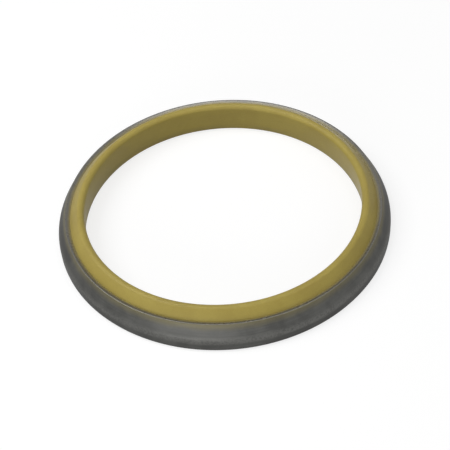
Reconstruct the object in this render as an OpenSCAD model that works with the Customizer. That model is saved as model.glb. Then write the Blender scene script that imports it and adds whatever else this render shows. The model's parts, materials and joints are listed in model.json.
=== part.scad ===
// Metal-cased rod wiper seal: a drawn steel case with a polyurethane wiper ring bonded into it.
// The seal lies on its flat base at z = 0, with its axis on Z and the wiping lip upwards.

/* [Fits] */
// Diameter of the rod that the lip wipes
rod_d = 80; // [60:1:120]
// How much smaller than the rod the relaxed lip is, on the radius
lip_grip = 0.75; // [0.25:0.05:1.5]
// How much wider than the rod the foot of the bore is, on the radius
base_clear = 0.15; // [0.05:0.05:1]
// Radial depth of the seal, from the rod to the housing bore that the case is pressed into
seal_depth = 7.5; // [6.8:0.1:10]

/* [Steel case] */
// Thickness of the case's sheet
case_t = 1.5; // [0.8:0.1:1.8]
// Height of the case, up to the outer corner of its collar's cut edge
case_h = 7.8; // [6.6:0.1:9]
// Height of the sharp corner in which the lines of the wall and the collar meet
corner_h = 3.2; // [2.8:0.1:4]
// Outer radius of the bend between wall and collar
bend_r = 4; // [2:0.1:5]
// Slope of the collar, in degrees from the base
collar_angle = 61; // [56:1:70]
// Depth of the lead-in chamfer at the foot of the wall
lead_in_w = 0.25; // [0.1:0.05:0.5]
// Height of the lead-in chamfer
lead_in_h = 0.6; // [0.3:0.05:1]

/* [Wiper ring] */
// Overall height, from the base to the crest of the lip
overall_h = 9.7; // [9.2:0.1:12]
// Radius of the lip's round crest
crest_r = 1.3; // [0.5:0.05:1.6]
// Height of the straight land below the crest, which touches the rod
land_h = 2; // [1:0.1:3.5]
// Width of the small chamfer at the foot of the bore
bore_break = 0.3; // [0.1:0.05:0.6]

/* [Hidden] */
$fn = 96;
lip_r = rod_d / 2 - lip_grip;
base_r = rod_d / 2 + base_clear;
case_r = rod_d / 2 + seal_depth;
case_inner_r = case_r - case_t;
crest_centre = [lip_r + crest_r, overall_h - crest_r];

// The collar leans in from the sharp corner, and its cut edge is square to the sheet.
corner = [case_r, corner_h];
collar_dir = [-cos(collar_angle), sin(collar_angle)];
collar_out = [sin(collar_angle), cos(collar_angle)];
edge_outer = corner + (case_h - corner_h) / collar_dir.y * collar_dir;
edge_inner = edge_outer - case_t * collar_out;

// The lip's outer flank is the line through the edge's inner corner that touches the crest from outside.
to_crest = crest_centre - edge_inner;
flank_angle = atan2(to_crest.y, -to_crest.x) + asin(crest_r / norm(to_crest));
flank_dir = [-cos(flank_angle), sin(flank_angle)];
flank_out = [sin(flank_angle), cos(flank_angle)];
crest_touch = crest_centre + crest_r * flank_out;
cap_foot = crest_centre - [0, crest_r / 2];
cap_stop = crest_touch - crest_r / 4 * flank_dir;

// The bend turns from the wall to the collar, with one centre for both faces of the sheet.
turn_angle = 90 - collar_angle;
bend_centre = [case_r - bend_r, corner_h - bend_r * tan(turn_angle / 2)];
bend_inner_r = bend_r - case_t;
// The bend's circles are a hair larger than ones that only touch the sheet's faces, so they cross them cleanly.
crossing = 1.001;
corner_inner = corner - case_t * [1, tan(turn_angle / 2)];

// The part of a bend's corner that lies outside a circle about the bend's centre, out to a given reach.
module bend_corner(r, reach) {
    translate(bend_centre) difference() {
        polygon([
            [0, 0],
            [reach, 0],
            reach * [1, tan(turn_angle / 2)],
            reach * [cos(turn_angle), sin(turn_angle)]
        ]);
        circle(r = crossing * r);
    }
}

// Section of the case: the chamfered wall, the bend and the collar that leans in over the wiper ring.
module case_section() {
    difference() {
        polygon([
            [case_inner_r, 0],
            [case_r - lead_in_w, 0],
            [case_r, lead_in_h],
            corner,
            edge_outer,
            edge_inner,
            corner_inner
        ]);
        bend_corner(bend_r, 2 * bend_r);
    }
    bend_corner(bend_inner_r, bend_r - case_t / 2);
}

// The round crest, from the bore over the top and down to where it touches the flank.
module crest_cap() {
    intersection() {
        translate(crest_centre) circle(r = crest_r);
        polygon([
            cap_foot,
            cap_foot + 2 * (cap_stop - cap_foot),
            [case_r, 2 * overall_h],
            [0, 2 * overall_h],
            [0, cap_foot.y]
        ]);
    }
}

// Section of the wiper ring: the body that fills the case, the lip with its round crest, and the relieved bore.
module wiper_section() {
    difference() {
        polygon([
            [base_r + bore_break, 0],
            [case_inner_r, 0],
            corner_inner,
            edge_inner,
            crest_touch,
            crest_centre,
            [lip_r, crest_centre.y],
            [lip_r, crest_centre.y - land_h],
            [base_r, bore_break]
        ]);
        bend_corner(bend_inner_r, bend_r);
    }
    crest_cap();
}

module steel_case() {
    color("dimgray") rotate_extrude() case_section();
}

module wiper_ring() {
    color("darkkhaki") rotate_extrude() wiper_section();
}

steel_case();
wiper_ring();
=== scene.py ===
# %% [markdown]
# # A metal-cased rod wiper seal
#
# This seal sits in the end cap of a hydraulic cylinder and wipes the rod clean as it slides back in. It is
# two pieces bonded into one: a dark steel case that is pressed into the cap, and a yellow polyurethane ring
# whose rounded lip touches the rod. The solids are already there, at their real size, so the lesson gives
# them their looks: finer rings, two worked-up materials, and a plain white studio.

# %% Load the solids
import json
import math

import bmesh
import bpy
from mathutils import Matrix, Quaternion, Vector


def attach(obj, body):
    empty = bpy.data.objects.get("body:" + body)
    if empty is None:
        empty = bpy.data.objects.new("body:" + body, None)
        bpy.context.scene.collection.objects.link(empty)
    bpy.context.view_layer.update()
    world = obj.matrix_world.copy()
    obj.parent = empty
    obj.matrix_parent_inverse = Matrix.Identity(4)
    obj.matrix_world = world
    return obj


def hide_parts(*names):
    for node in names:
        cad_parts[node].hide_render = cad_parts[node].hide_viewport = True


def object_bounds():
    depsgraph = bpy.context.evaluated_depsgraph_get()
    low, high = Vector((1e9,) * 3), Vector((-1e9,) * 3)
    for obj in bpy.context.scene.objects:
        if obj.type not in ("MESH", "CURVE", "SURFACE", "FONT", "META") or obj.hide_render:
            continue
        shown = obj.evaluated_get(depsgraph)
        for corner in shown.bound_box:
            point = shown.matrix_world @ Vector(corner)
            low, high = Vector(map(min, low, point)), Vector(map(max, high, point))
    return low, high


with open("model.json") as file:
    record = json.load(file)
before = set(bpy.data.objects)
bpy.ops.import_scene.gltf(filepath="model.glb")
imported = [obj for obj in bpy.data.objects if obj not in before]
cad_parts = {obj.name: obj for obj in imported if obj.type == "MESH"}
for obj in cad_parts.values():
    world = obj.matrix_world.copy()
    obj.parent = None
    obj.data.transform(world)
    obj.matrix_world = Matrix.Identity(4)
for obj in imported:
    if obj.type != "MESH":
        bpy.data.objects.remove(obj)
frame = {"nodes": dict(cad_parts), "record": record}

cad_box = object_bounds()
print("pieces:", sorted(frame["nodes"]), "box:", cad_box)

# %% [markdown]
# ## Sizes
#
# The lip grips the rod and the wall fills the housing bore. Those two radii, and the length of the land that
# touches the rod, are fits, so they are read from the model's own record and can't drift away from the
# solids. The overall height is the top of the solids' box. The sheet's thickness and the case's height are
# written in millimetres, as on a drawing, and so are the smaller sizes further on.

# %% Measure the section
MM = 0.001
fits = {mount["name"]: mount["dims"] for mount in frame["record"]["mounts"]}
lip_r = fits["rod_bore"]["r_mm"] * MM
land_h = fits["rod_bore"]["length_mm"] * MM
case_r = fits["housing_fit"]["r_mm"] * MM
overall_h = cad_box[1][2]
case_t = 1.5 * MM
case_h = 7.8 * MM
print(f"lip {2 * lip_r / MM:.1f} mm, case {2 * case_r / MM:.1f} mm, height {overall_h / MM:.1f} mm")

# %% [markdown]
# ## Collar
#
# Seen from the side, the case's wall bends into a collar that leans in at 61 degrees and ends in a square cut
# edge. Two directions describe any such slope: one up along it, and one straight out from it. With them, both
# corners of the cut edge follow from the point where the lines of wall and collar would meet. The sheet keeps
# its thickness round the bend, so both of its faces turn about one centre.

# %% Find the collar
corner_h = 3.2 * MM
bend_r = 4.0 * MM
collar_angle = math.radians(61)


def up_along(angle):
    return Vector((-math.cos(angle), 0, math.sin(angle)))


def out_from(angle):
    return Vector((math.sin(angle), 0, math.cos(angle)))


corner = Vector((case_r, 0, corner_h))
collar_up, collar_out = up_along(collar_angle), out_from(collar_angle)
edge_outer = corner + collar_up * (case_h - corner_h) / collar_up.z
edge_inner = edge_outer - collar_out * case_t
turn = math.pi / 2 - collar_angle
bend = Vector((case_r - bend_r, 0, corner_h - bend_r * math.tan(turn / 2)))
print(f"cut edge from radius {edge_outer.x / MM:.2f} to {edge_inner.x / MM:.2f} mm")

# %% [markdown]
# ## Lip
#
# The yellow lip comes out from inside the cut edge and runs up to a round crest. Its flank starts at the
# edge's inner corner and just touches the crest. A tangent from a point to a circle is one arcsine, so the
# flank's slope is worked out instead of guessed, and the two pieces meet whatever the sizes are.

# %% Find the flank
crest_r = 1.3 * MM
crest = Vector((lip_r + crest_r, 0, overall_h - crest_r))
to_crest = crest - edge_inner
flank_angle = math.atan2(to_crest.z, -to_crest.x) + math.asin(crest_r / to_crest.length)
crest_touch = crest + crest_r * out_from(flank_angle)
print(f"flank at {math.degrees(flank_angle):.1f} degrees")

# %% [markdown]
# ## Drawing a section and turning it
#
# Both pieces are round, so each is a flat section swept about the axis, as on a lathe. The section is drawn
# like a template: straight runs are single edges, and every round is a vertex spun about the round's own
# centre, which gives a true arc. A second spin then sweeps the closed loop through a full turn. Its last step
# is merged with its first so that no seam is left, and the normals are recalculated because a spin may turn a
# shape inside out. Bevelling the solids would be the other way, but they are loose triangles, and those bevel
# badly.

# %% Template and lathe
SPIN_STEPS = 384
SHARP_ANGLE = math.radians(25)
MERGE_DIST = 1e-7


def start_at(bm, place):
    return bm.verts.new(place)


def line_to(bm, here, place):
    there = bm.verts.new(place)
    bm.edges.new((here, there))
    return there


def round_about(bm, here, centre, angle, steps):
    swept = bmesh.ops.spin(bm, geom=[here], cent=centre, axis=(0, 1, 0), angle=angle, steps=steps)
    return [v for v in swept["geom_last"] if isinstance(v, bmesh.types.BMVert)][0]


def turn_ring(bm, name):
    bmesh.ops.spin(bm, geom=bm.verts[:] + bm.edges[:], cent=(0, 0, 0), axis=(0, 0, 1),
                   angle=2 * math.pi, steps=SPIN_STEPS, use_merge=True)
    bmesh.ops.remove_doubles(bm, verts=bm.verts, dist=MERGE_DIST)
    bmesh.ops.recalc_face_normals(bm, faces=bm.faces)
    mesh = bpy.data.meshes.new(name)
    bm.to_mesh(mesh)
    bm.free()
    mesh.shade_smooth()
    mesh.set_sharp_from_angle(angle=SHARP_ANGLE)
    ring = bpy.data.objects.new(name, mesh)
    bpy.context.collection.objects.link(ring)
    print(name, len(mesh.polygons), "faces")
    return ring


print(f"each of {SPIN_STEPS} steps is {2 * math.pi * case_r / SPIN_STEPS / MM:.2f} mm long at the wall")

# %% [markdown]
# ## The steel case
#
# The case is drawn from sheet: a short straight wall, a generous bend, and a collar that leans in over the
# yellow ring. A press leaves no knife edges, so the foot has its lead-in chamfer with a small break on either
# side. The collar ends where the sheet was cut. A cutting tool rolls one corner of such an edge over, here
# the outer one, and leaves the other square. Those tiny rounds are what catches a thin line of light.

# %% Turn the steel case
lead_in_w, lead_in_h = 0.25 * MM, 0.6 * MM
ease = 0.12 * MM
foot_rise, wall_inset = 0.6 * ease, 0.3 * ease
die_roll = 0.35 * MM
BEND_STEPS, ROLL_STEPS, INNER_STEPS = 12, 8, 8

bm = bmesh.new()
first = start_at(bm, (case_r - case_t, 0, 0))
pen = line_to(bm, first, (case_r - lead_in_w - ease, 0, 0))
pen = line_to(bm, pen, (case_r - lead_in_w, 0, foot_rise))
pen = line_to(bm, pen, (case_r - wall_inset, 0, lead_in_h - ease))
pen = line_to(bm, pen, (case_r, 0, lead_in_h + ease))
pen = line_to(bm, pen, (case_r, 0, bend.z))
pen = round_about(bm, pen, bend, -turn, BEND_STEPS)
pen = line_to(bm, pen, edge_outer - collar_up * die_roll)
pen = round_about(bm, pen, edge_outer - (collar_up + collar_out) * die_roll, -math.pi / 2, ROLL_STEPS)
pen = line_to(bm, pen, edge_inner)
pen = line_to(bm, pen, bend + collar_out * (bend_r - case_t))
pen = round_about(bm, pen, bend, turn, INNER_STEPS)
bm.edges.new((pen, first))
steel_case = turn_ring(bm, "drawn_steel_case")

# %% [markdown]
# ## The wiper ring
#
# The ring is moulded straight into the case, so it fills the case from the foot up to the inner corner of the
# collar's edge. There the lip comes out, with a straight flank that leads into the round crest. Inside, a
# short straight land below the crest touches the rod, and from there the bore opens towards the foot, so that
# only the lip rubs. It is drawn with the same pen as the case and shares its points with it, so no gap opens.

# %% Turn the wiper ring
bore_relief = 0.9 * MM
bore_break = 0.3 * MM
base_r = lip_r + bore_relief
CREST_STEPS = 28

bm = bmesh.new()
first = start_at(bm, (base_r + bore_break, 0, 0))
pen = line_to(bm, first, (case_r - case_t, 0, 0))
pen = line_to(bm, pen, (case_r - case_t, 0, bend.z))
pen = round_about(bm, pen, bend, -turn, INNER_STEPS)
pen = line_to(bm, pen, edge_inner)
pen = line_to(bm, pen, crest_touch)
pen = round_about(bm, pen, crest, -(math.pi / 2 + flank_angle), CREST_STEPS)
pen = line_to(bm, pen, (lip_r, 0, crest.z - land_h))
pen = line_to(bm, pen, (base_r, 0, bore_break))
bm.edges.new((pen, first))
wiper_ring = turn_ring(bm, "moulded_wiper_ring")

# %% [markdown]
# ## Handing the rings over
#
# Each new ring takes the place of one solid, and both ride on the one body of this part, because the two are
# bonded and nothing moves.

# %% Replace the solids
handed_over = (
    (steel_case, "steel_case", "case_steel"),
    (wiper_ring, "wiper_ring", "polyurethane"),
)
for piece, node, slot in handed_over:
    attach(piece, "root")
    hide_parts(node)
    print(piece.name, "replaces", node)

# %% [markdown]
# ## Building materials from nodes
#
# A material is a tree of nodes, and most of the typing goes into adding nodes and wiring their sockets. A
# small helper does both in one line. The others name the few steps that come up again and again: noise,
# a ramp from one value to another, a blend of two colours, and plain arithmetic.

# %% Node helpers
def add(tree, kind, sockets=None, **settings):
    made = tree.nodes.new("ShaderNode" + kind)
    for key, value in settings.items():
        setattr(made, key, value)
    for key, value in (sockets or {}).items():
        if isinstance(value, bpy.types.NodeSocket):
            tree.links.new(value, made.inputs[key])
        else:
            made.inputs[key].default_value = value
    return made


def new_material(name):
    made = bpy.data.materials.new(name)
    made.use_nodes = True
    print("new material", name)
    return made, made.node_tree, made.node_tree.nodes["Principled BSDF"]


def noise(tree, vector, scale, detail=2.0, rough=0.5):
    sockets = {"Vector": vector, "Scale": scale, "Detail": detail, "Roughness": rough}
    return add(tree, "TexNoise", sockets).outputs[0]


def ramp(tree, value, low, high, to_low=0.0, to_high=1.0):
    sockets = {"Value": value, "From Min": low, "From Max": high, "To Min": to_low, "To Max": to_high}
    return add(tree, "MapRange", sockets, interpolation_type="SMOOTHSTEP").outputs["Result"]


def blend(tree, share, one, other):
    return add(tree, "Mix", {0: share, 6: one, 7: other}, data_type="RGBA").outputs[2]


def reckon(tree, how, one, other, third=0.0):
    return add(tree, "Math", {0: one, 1: other, 2: third}, operation=how).outputs[0]


print("helpers for nodes, noise, ramps, blends and sums")

# %% [markdown]
# ## Painting round an axis
#
# Every surface here is turned or moulded round one axis, so both materials want the same things to paint
# with: the point itself, its distance from the axis, and its height. All of them come from Object
# coordinates, which stay with the piece wherever it goes. Lines that run round the ring are a noise that is
# squeezed along the turn, and a border looks natural when a noise shifts it to and fro.

# %% Helpers for a round piece
def ring_coordinates(tree):
    point = add(tree, "TexCoord").outputs["Object"]
    flat = add(tree, "VectorMath", {0: point, 1: (1, 1, 0)}, operation="MULTIPLY").outputs["Vector"]
    radius = add(tree, "VectorMath", {0: flat}, operation="LENGTH").outputs["Value"]
    height = add(tree, "SeparateXYZ", {0: point}).outputs["Z"]
    return point, flat, radius, height


def turning_lines(tree, flat, radius, height, squeeze):
    across = add(tree, "CombineXYZ", {"X": radius, "Z": height}).outputs[0]
    along = add(tree, "VectorMath", {0: flat, "Scale": squeeze}, operation="SCALE").outputs["Vector"]
    return add(tree, "VectorMath", {0: across, 1: along}, operation="ADD").outputs["Vector"]


def ragged(tree, value, wobble, width):
    shift = reckon(tree, "MULTIPLY_ADD", wobble, width, -width / 2)
    return reckon(tree, "ADD", value, shift)


def fine_relief(tree, grain, lines, grain_share):
    height = reckon(tree, "MULTIPLY", grain, grain_share)
    return reckon(tree, "MULTIPLY_ADD", lines, 1.0 - grain_share, height)


print("helpers for coordinates, turning lines, ragged borders and relief")

# %% [markdown]
# ## Yellow polyurethane
#
# Cast polyurethane is a satin, slightly cloudy mustard yellow. Large soft clouds mix two shades of it, and a
# fine grain breaks up both. Painted shade darkens the foot of the flank, in the crease against the steel, and
# the foot of the bore is painted darker towards the bottom. A picture of a real ring could be wrapped round
# this one, but noise has no seam and can follow the true radius and height.

# %% Colour of the wiper ring
DEEP_MUSTARD = (0.350, 0.268, 0.046, 1)
PALE_MUSTARD = (0.395, 0.309, 0.060, 1)
GRAIN_SHADE = (0.25, 0.19, 0.05, 1)
# Colour of the painted shade in the crease where the flank meets the steel.
PAINTED_SHADE_BROWN = (0.190, 0.163, 0.070, 1)
FOOT_DARKENED_BROWN = (0.20, 0.165, 0.065, 1)
PAINTED_SHADE_FROM, PAINTED_SHADE_TO = edge_inner.x - 0.9 * MM, edge_inner.x + 0.2 * MM
DARKENING_TOP, DARKENING_FULL = 3.0 * MM, 0.2 * MM

mat, tree, skin = new_material("yellow_polyurethane")
point, flat, radius, height = ring_coordinates(tree)
clouds = noise(tree, point, scale=95.0, detail=4.0, rough=0.55)
grain = noise(tree, point, scale=2400.0, detail=3.0, rough=0.6)

mustard = blend(tree, ramp(tree, clouds, 0.35, 0.65), DEEP_MUSTARD, PALE_MUSTARD)
mustard = blend(tree, ramp(tree, grain, 0.30, 0.75, to_high=0.16), mustard, GRAIN_SHADE)
# Painted shade: the flank turns brown towards the steel, in the crease between the two parts.
painted_shade = ramp(tree, ragged(tree, radius, clouds, 0.8 * MM), PAINTED_SHADE_FROM, PAINTED_SHADE_TO, to_high=0.25)
mustard = blend(tree, painted_shade, mustard, PAINTED_SHADE_BROWN)
# The ring is painted darker towards its foot, below 3 mm, in patches that follow the clouds.
foot_darkening = ramp(tree, clouds, 0.4, 0.6, to_low=0.1, to_high=0.5)
foot_darkening = reckon(tree, "MULTIPLY", ramp(tree, height, DARKENING_TOP, DARKENING_FULL), foot_darkening)
mustard = blend(tree, foot_darkening, mustard, FOOT_DARKENED_BROWN)
tree.links.new(mustard, skin.inputs["Base Color"])
print("colour from", len(tree.nodes), "nodes")

# %% [markdown]
# ## Shine of the polyurethane
#
# The surface copies its mould: a fine grain, and faint lines that run round where the mould was turned. They
# are far too fine to model, so a bump node tilts the light on them instead. A little sheen gives the pale
# veil that a soft surface has where it turns away from the eye.

# %% Shine of the wiper ring
lines = noise(tree, turning_lines(tree, flat, radius, height, squeeze=0.02), scale=2100.0)
dullness = ramp(tree, clouds, 0.3, 0.7, to_low=0.52, to_high=0.62)
dullness = reckon(tree, "ADD", dullness, ramp(tree, grain, 0.3, 0.7, to_low=-0.03, to_high=0.05))
tree.links.new(dullness, skin.inputs["Roughness"])
relief = fine_relief(tree, grain, lines, grain_share=0.6)
bump = add(tree, "Bump", {"Height": relief, "Strength": 0.25, "Distance": 0.04 * MM})
tree.links.new(bump.outputs[0], skin.inputs["Normal"])
skin.inputs["Sheen Weight"].default_value = 0.30
skin.inputs["Sheen Roughness"].default_value = 0.35
wiper_ring.data.materials.append(mat)
print(mat.name, "has", len(tree.nodes), "nodes")

# %% [markdown]
# ## Dark drawn steel
#
# The case has the dull dark grey of phosphated sheet. It is mottled, finely lined round the wall where it was
# sized, and a little burnished along the bend that rubs against tools. The bend is found by its height: one
# ramp rises below it, another falls above it, and their product is a soft band.

# %% Coat of the steel case
COAT_DARK = (0.075, 0.075, 0.071, 1)
COAT_PALE = (0.101, 0.101, 0.095, 1)
LINE_DARK = (0.050, 0.050, 0.047, 1)
RUBBED_GREY = (0.150, 0.149, 0.140, 1)

mat, tree, sheet = new_material("dark_drawn_steel")
point, flat, radius, height = ring_coordinates(tree)
mottle = noise(tree, point, scale=170.0, detail=5.0, rough=0.6)
grain = noise(tree, point, scale=1900.0, detail=3.0, rough=0.6)
lines = noise(tree, turning_lines(tree, flat, radius, height, squeeze=0.03), scale=2600.0)

coat = blend(tree, ramp(tree, mottle, 0.35, 0.65), COAT_DARK, COAT_PALE)
coat = blend(tree, ramp(tree, lines, 0.40, 0.70, to_high=0.25), coat, LINE_DARK)
bend_low = ramp(tree, height, bend.z - 0.2 * MM, corner_h - 0.2 * MM)
bend_high = ramp(tree, height, corner_h + 1.6 * MM, corner_h + 0.1 * MM)
rubbed = reckon(tree, "MULTIPLY", bend_low, bend_high)
rubbed = reckon(tree, "MULTIPLY", rubbed, ramp(tree, grain, 0.35, 0.6, to_low=0.2, to_high=0.7))
coat = blend(tree, rubbed, coat, RUBBED_GREY)
print("coat from", len(tree.nodes), "nodes")

# %% [markdown]
# ## Cut edge and yellow film
#
# The cut edge is bare metal. To find it, each point's climb along the collar is measured from the corner
# below it: the edge lies at the top of the climb. In the mould a film of yellow has crept over the edge's
# inner half and a little way down the collar, with a ragged border. A second material on picked faces would
# do for the edge, but not for the film, which fades.

# %% Cut edge of the steel case
BARE_DARK = (0.134, 0.129, 0.115, 1)
BARE_PALE = (0.152, 0.147, 0.131, 1)
CREPT_YELLOW = (0.180, 0.155, 0.070, 1)
FLASH_YELLOW = (0.265, 0.222, 0.092, 1)
EDGE_CLIMB = (edge_outer - corner).length
COAT_ENDS, BARE_STARTS = EDGE_CLIMB - 0.20 * MM, EDGE_CLIMB - 0.08 * MM
CREEP_FROM, CREEP_TO = EDGE_CLIMB - 2.4 * MM, EDGE_CLIMB + 0.2 * MM
FLASH_FROM, FLASH_TO = edge_inner.x + 0.90 * MM, edge_inner.x + 0.10 * MM

climb = reckon(tree, "MULTIPLY_ADD", radius, collar_up.x, -collar_up.dot(corner))
climb = reckon(tree, "MULTIPLY_ADD", height, collar_up.z, climb)
coated = ramp(tree, climb, BARE_STARTS, COAT_ENDS)
sheared = ramp(tree, climb, COAT_ENDS, BARE_STARTS)

creep = ramp(tree, ragged(tree, climb, mottle, 1.6 * MM), CREEP_FROM, CREEP_TO, to_high=0.60)
creep = reckon(tree, "MULTIPLY", creep, coated)
coat = blend(tree, creep, coat, CREPT_YELLOW)
bare = blend(tree, ramp(tree, grain, 0.3, 0.7), BARE_DARK, BARE_PALE)
flash = ramp(tree, ragged(tree, radius, mottle, 0.8 * MM), FLASH_FROM, FLASH_TO, to_high=0.8)
bare = blend(tree, flash, bare, FLASH_YELLOW)
tree.links.new(blend(tree, sheared, coat, bare), sheet.inputs["Base Color"])
print(f"bare edge starts {BARE_STARTS / MM:.2f} mm up the collar")

# %% [markdown]
# ## Shine of the steel
#
# The coat is dull and the bare edge smoother, so the edge gleams where it mirrors a lamp and is dark
# elsewhere. The film is no metal, so it takes some of the metallic look away. The dim specular tint stops the
# dull coat from turning white where it is seen at a flat angle.

# %% Shine of the steel case
COAT_METAL, EDGE_LOSS, FILM_LOSS = 0.80, -0.30, -0.60
RUBBED_SMOOTHER, EDGE_SMOOTHER = -0.08, -0.17
COAT_BUMP, EDGE_FLATTER = 0.3, -0.2

film = reckon(tree, "MAXIMUM", creep, reckon(tree, "MULTIPLY", flash, sheared))
metal = reckon(tree, "MULTIPLY_ADD", sheared, EDGE_LOSS, COAT_METAL)
metal = reckon(tree, "MULTIPLY_ADD", film, FILM_LOSS, metal)
tree.links.new(metal, sheet.inputs["Metallic"])
dullness = ramp(tree, mottle, 0.3, 0.7, to_low=0.38, to_high=0.50)
dullness = reckon(tree, "MULTIPLY_ADD", rubbed, RUBBED_SMOOTHER, dullness)
dullness = reckon(tree, "MULTIPLY_ADD", sheared, EDGE_SMOOTHER, dullness)
tree.links.new(dullness, sheet.inputs["Roughness"])
relief = fine_relief(tree, grain, lines, grain_share=0.5)
strength = reckon(tree, "MULTIPLY_ADD", sheared, EDGE_FLATTER, COAT_BUMP)
bump = add(tree, "Bump", {"Height": relief, "Strength": strength, "Distance": 0.03 * MM})
tree.links.new(bump.outputs[0], sheet.inputs["Normal"])
sheet.inputs["Specular Tint"].default_value = (0.5, 0.5, 0.5, 1)
steel_case.data.materials.append(mat)
print(mat.name, "has", len(tree.nodes), "nodes")

# %% [markdown]
# ## White floor
#
# The part lies on a white sweep. More light would make a floor white, but it would bleach the part too. So
# the floor is a plain grey surface for the light that it throws on the part, and it gets a glow for the rays
# of the camera and of reflections alone. Shading and glow add up to white where the floor is lit, and a soft
# contact shadow stays under the ring. The glow grows with distance, because the lamps reach less far than a
# low view does.

# %% Lay the floor
WHITE = (1, 1, 1, 1)
FLOOR_GREY = (0.32, 0.32, 0.32, 1)
FLOOR_HALF = 2.0
LIT_R, FAR_R = 0.08, 0.80
LIT_GLOW, FAR_GLOW = 0.74, 0.96


def seen_rays(tree):
    path = add(tree, "LightPath").outputs
    seen = reckon(tree, "MAXIMUM", path["Is Camera Ray"], path["Is Glossy Ray"])
    return reckon(tree, "MAXIMUM", seen, path["Is Transmission Ray"])


bm = bmesh.new()
bmesh.ops.create_grid(bm, x_segments=1, y_segments=1, size=FLOOR_HALF)
mesh = bpy.data.meshes.new("white_sweep")
bm.to_mesh(mesh)
bm.free()
floor = bpy.data.objects.new("white_sweep", mesh)
bpy.context.collection.objects.link(floor)

mat, tree, unused = new_material("white_sweep")
tree.nodes.remove(unused)
grey = add(tree, "BsdfDiffuse", {"Color": FLOOR_GREY})
away = add(tree, "VectorMath", {0: add(tree, "TexCoord").outputs["Object"]}, operation="LENGTH")
glow = ramp(tree, away.outputs["Value"], LIT_R, FAR_R, LIT_GLOW, FAR_GLOW)
share = reckon(tree, "MULTIPLY", seen_rays(tree), glow)
white = add(tree, "Emission", {"Color": WHITE, "Strength": share})
both = add(tree, "AddShader", {0: grey.outputs[0], 1: white.outputs[0]})
tree.links.new(both.outputs[0], tree.nodes["Material Output"].inputs["Surface"])
floor.data.materials.append(mat)
print(f"floor {2 * FLOOR_HALF:.0f} m wide, glow {LIT_GLOW} to {FAR_GLOW}")

# %% [markdown]
# ## White surroundings
#
# The world is split in the same way: plain white to look at, and a dim fill for the light that it throws.

# %% Set the world
WORLD_FILL = 0.14
world = bpy.data.worlds.new("white_surroundings")
bpy.context.scene.world = world
world.use_nodes = True
tree = world.node_tree
fill = tree.nodes["Background"]
fill.inputs["Color"].default_value = WHITE
fill.inputs["Strength"].default_value = WORLD_FILL
white = add(tree, "Background", {"Color": WHITE, "Strength": 1.0})
mixed = add(tree, "MixShader", {0: seen_rays(tree), 1: fill.outputs[0], 2: white.outputs[0]})
tree.links.new(mixed.outputs[0], tree.nodes["World Output"].inputs["Surface"])
print("world fill", WORLD_FILL)

# %% [markdown]
# ## Soft studio light
#
# The photograph has soft light from high on the left: the left inside of the bore is in shade and the right
# inside is lit. A square softbox gives that. A strip overhead is what the cut edge mirrors along the back of
# the ring, a low strip in front puts the pale sheen on the collar, and a weak fill keeps the right flank from
# sinking into the dark.

# %% Softboxes
def softbox(name, place, wide, tall, watts):
    light = bpy.data.lights.new(name, "AREA")
    light.shape = "RECTANGLE"
    light.size, light.size_y = wide, tall
    light.energy = watts
    lamp = bpy.data.objects.new(name, light)
    lamp.location = place
    lamp.rotation_euler = (-Vector(place)).to_track_quat("-Z", "Y").to_euler()
    bpy.context.collection.objects.link(lamp)
    print(name, watts, "W")


softbox("key_softbox", place=(-0.36, 0.03, 0.50), wide=0.35, tall=0.35, watts=1.55)
softbox("top_strip", place=(0.0, 0.0, 0.64), wide=0.60, tall=0.16, watts=1.3)
softbox("front_strip", place=(-0.33, -0.78, 0.21), wide=0.80, tall=0.25, watts=2.2)
softbox("right_fill", place=(0.50, -0.25, 0.40), wide=0.40, tall=0.40, watts=0.45)

# %% [markdown]
# ## Camera
#
# The camera's numbers come from fitting a pinhole camera to the ring's outlines in the photograph: a view 45
# degrees down from a third of a metre away, tipped five degrees to one side. The focal length was found in
# pixels of a 450 pixel image, and becomes millimetres on a 36 mm sensor.

# %% Camera
IMAGE_PX = 450
FOCAL_PX = 1152.7
SENSOR_MM = 36
elevation, roll = math.radians(45.395), math.radians(-5.213)
distance = 7.0 * case_r
aim = Vector((0.00007, -0.00184, 0))

cam = bpy.data.cameras.new("camera")
cam.sensor_width = SENSOR_MM
cam.lens = FOCAL_PX * SENSOR_MM / IMAGE_PX
camera = bpy.data.objects.new("camera", cam)
camera.location = (0, -distance * math.cos(elevation), distance * math.sin(elevation))
looking = (aim - camera.location).to_track_quat("-Z", "Y")
camera.rotation_mode = "QUATERNION"
camera.rotation_quaternion = looking @ Quaternion((0, 0, 1), roll)
bpy.context.collection.objects.link(camera)
bpy.context.scene.camera = camera
bpy.context.scene.view_settings.view_transform = "Standard"
print(f"lens {cam.lens:.1f} mm at {distance / MM:.0f} mm")
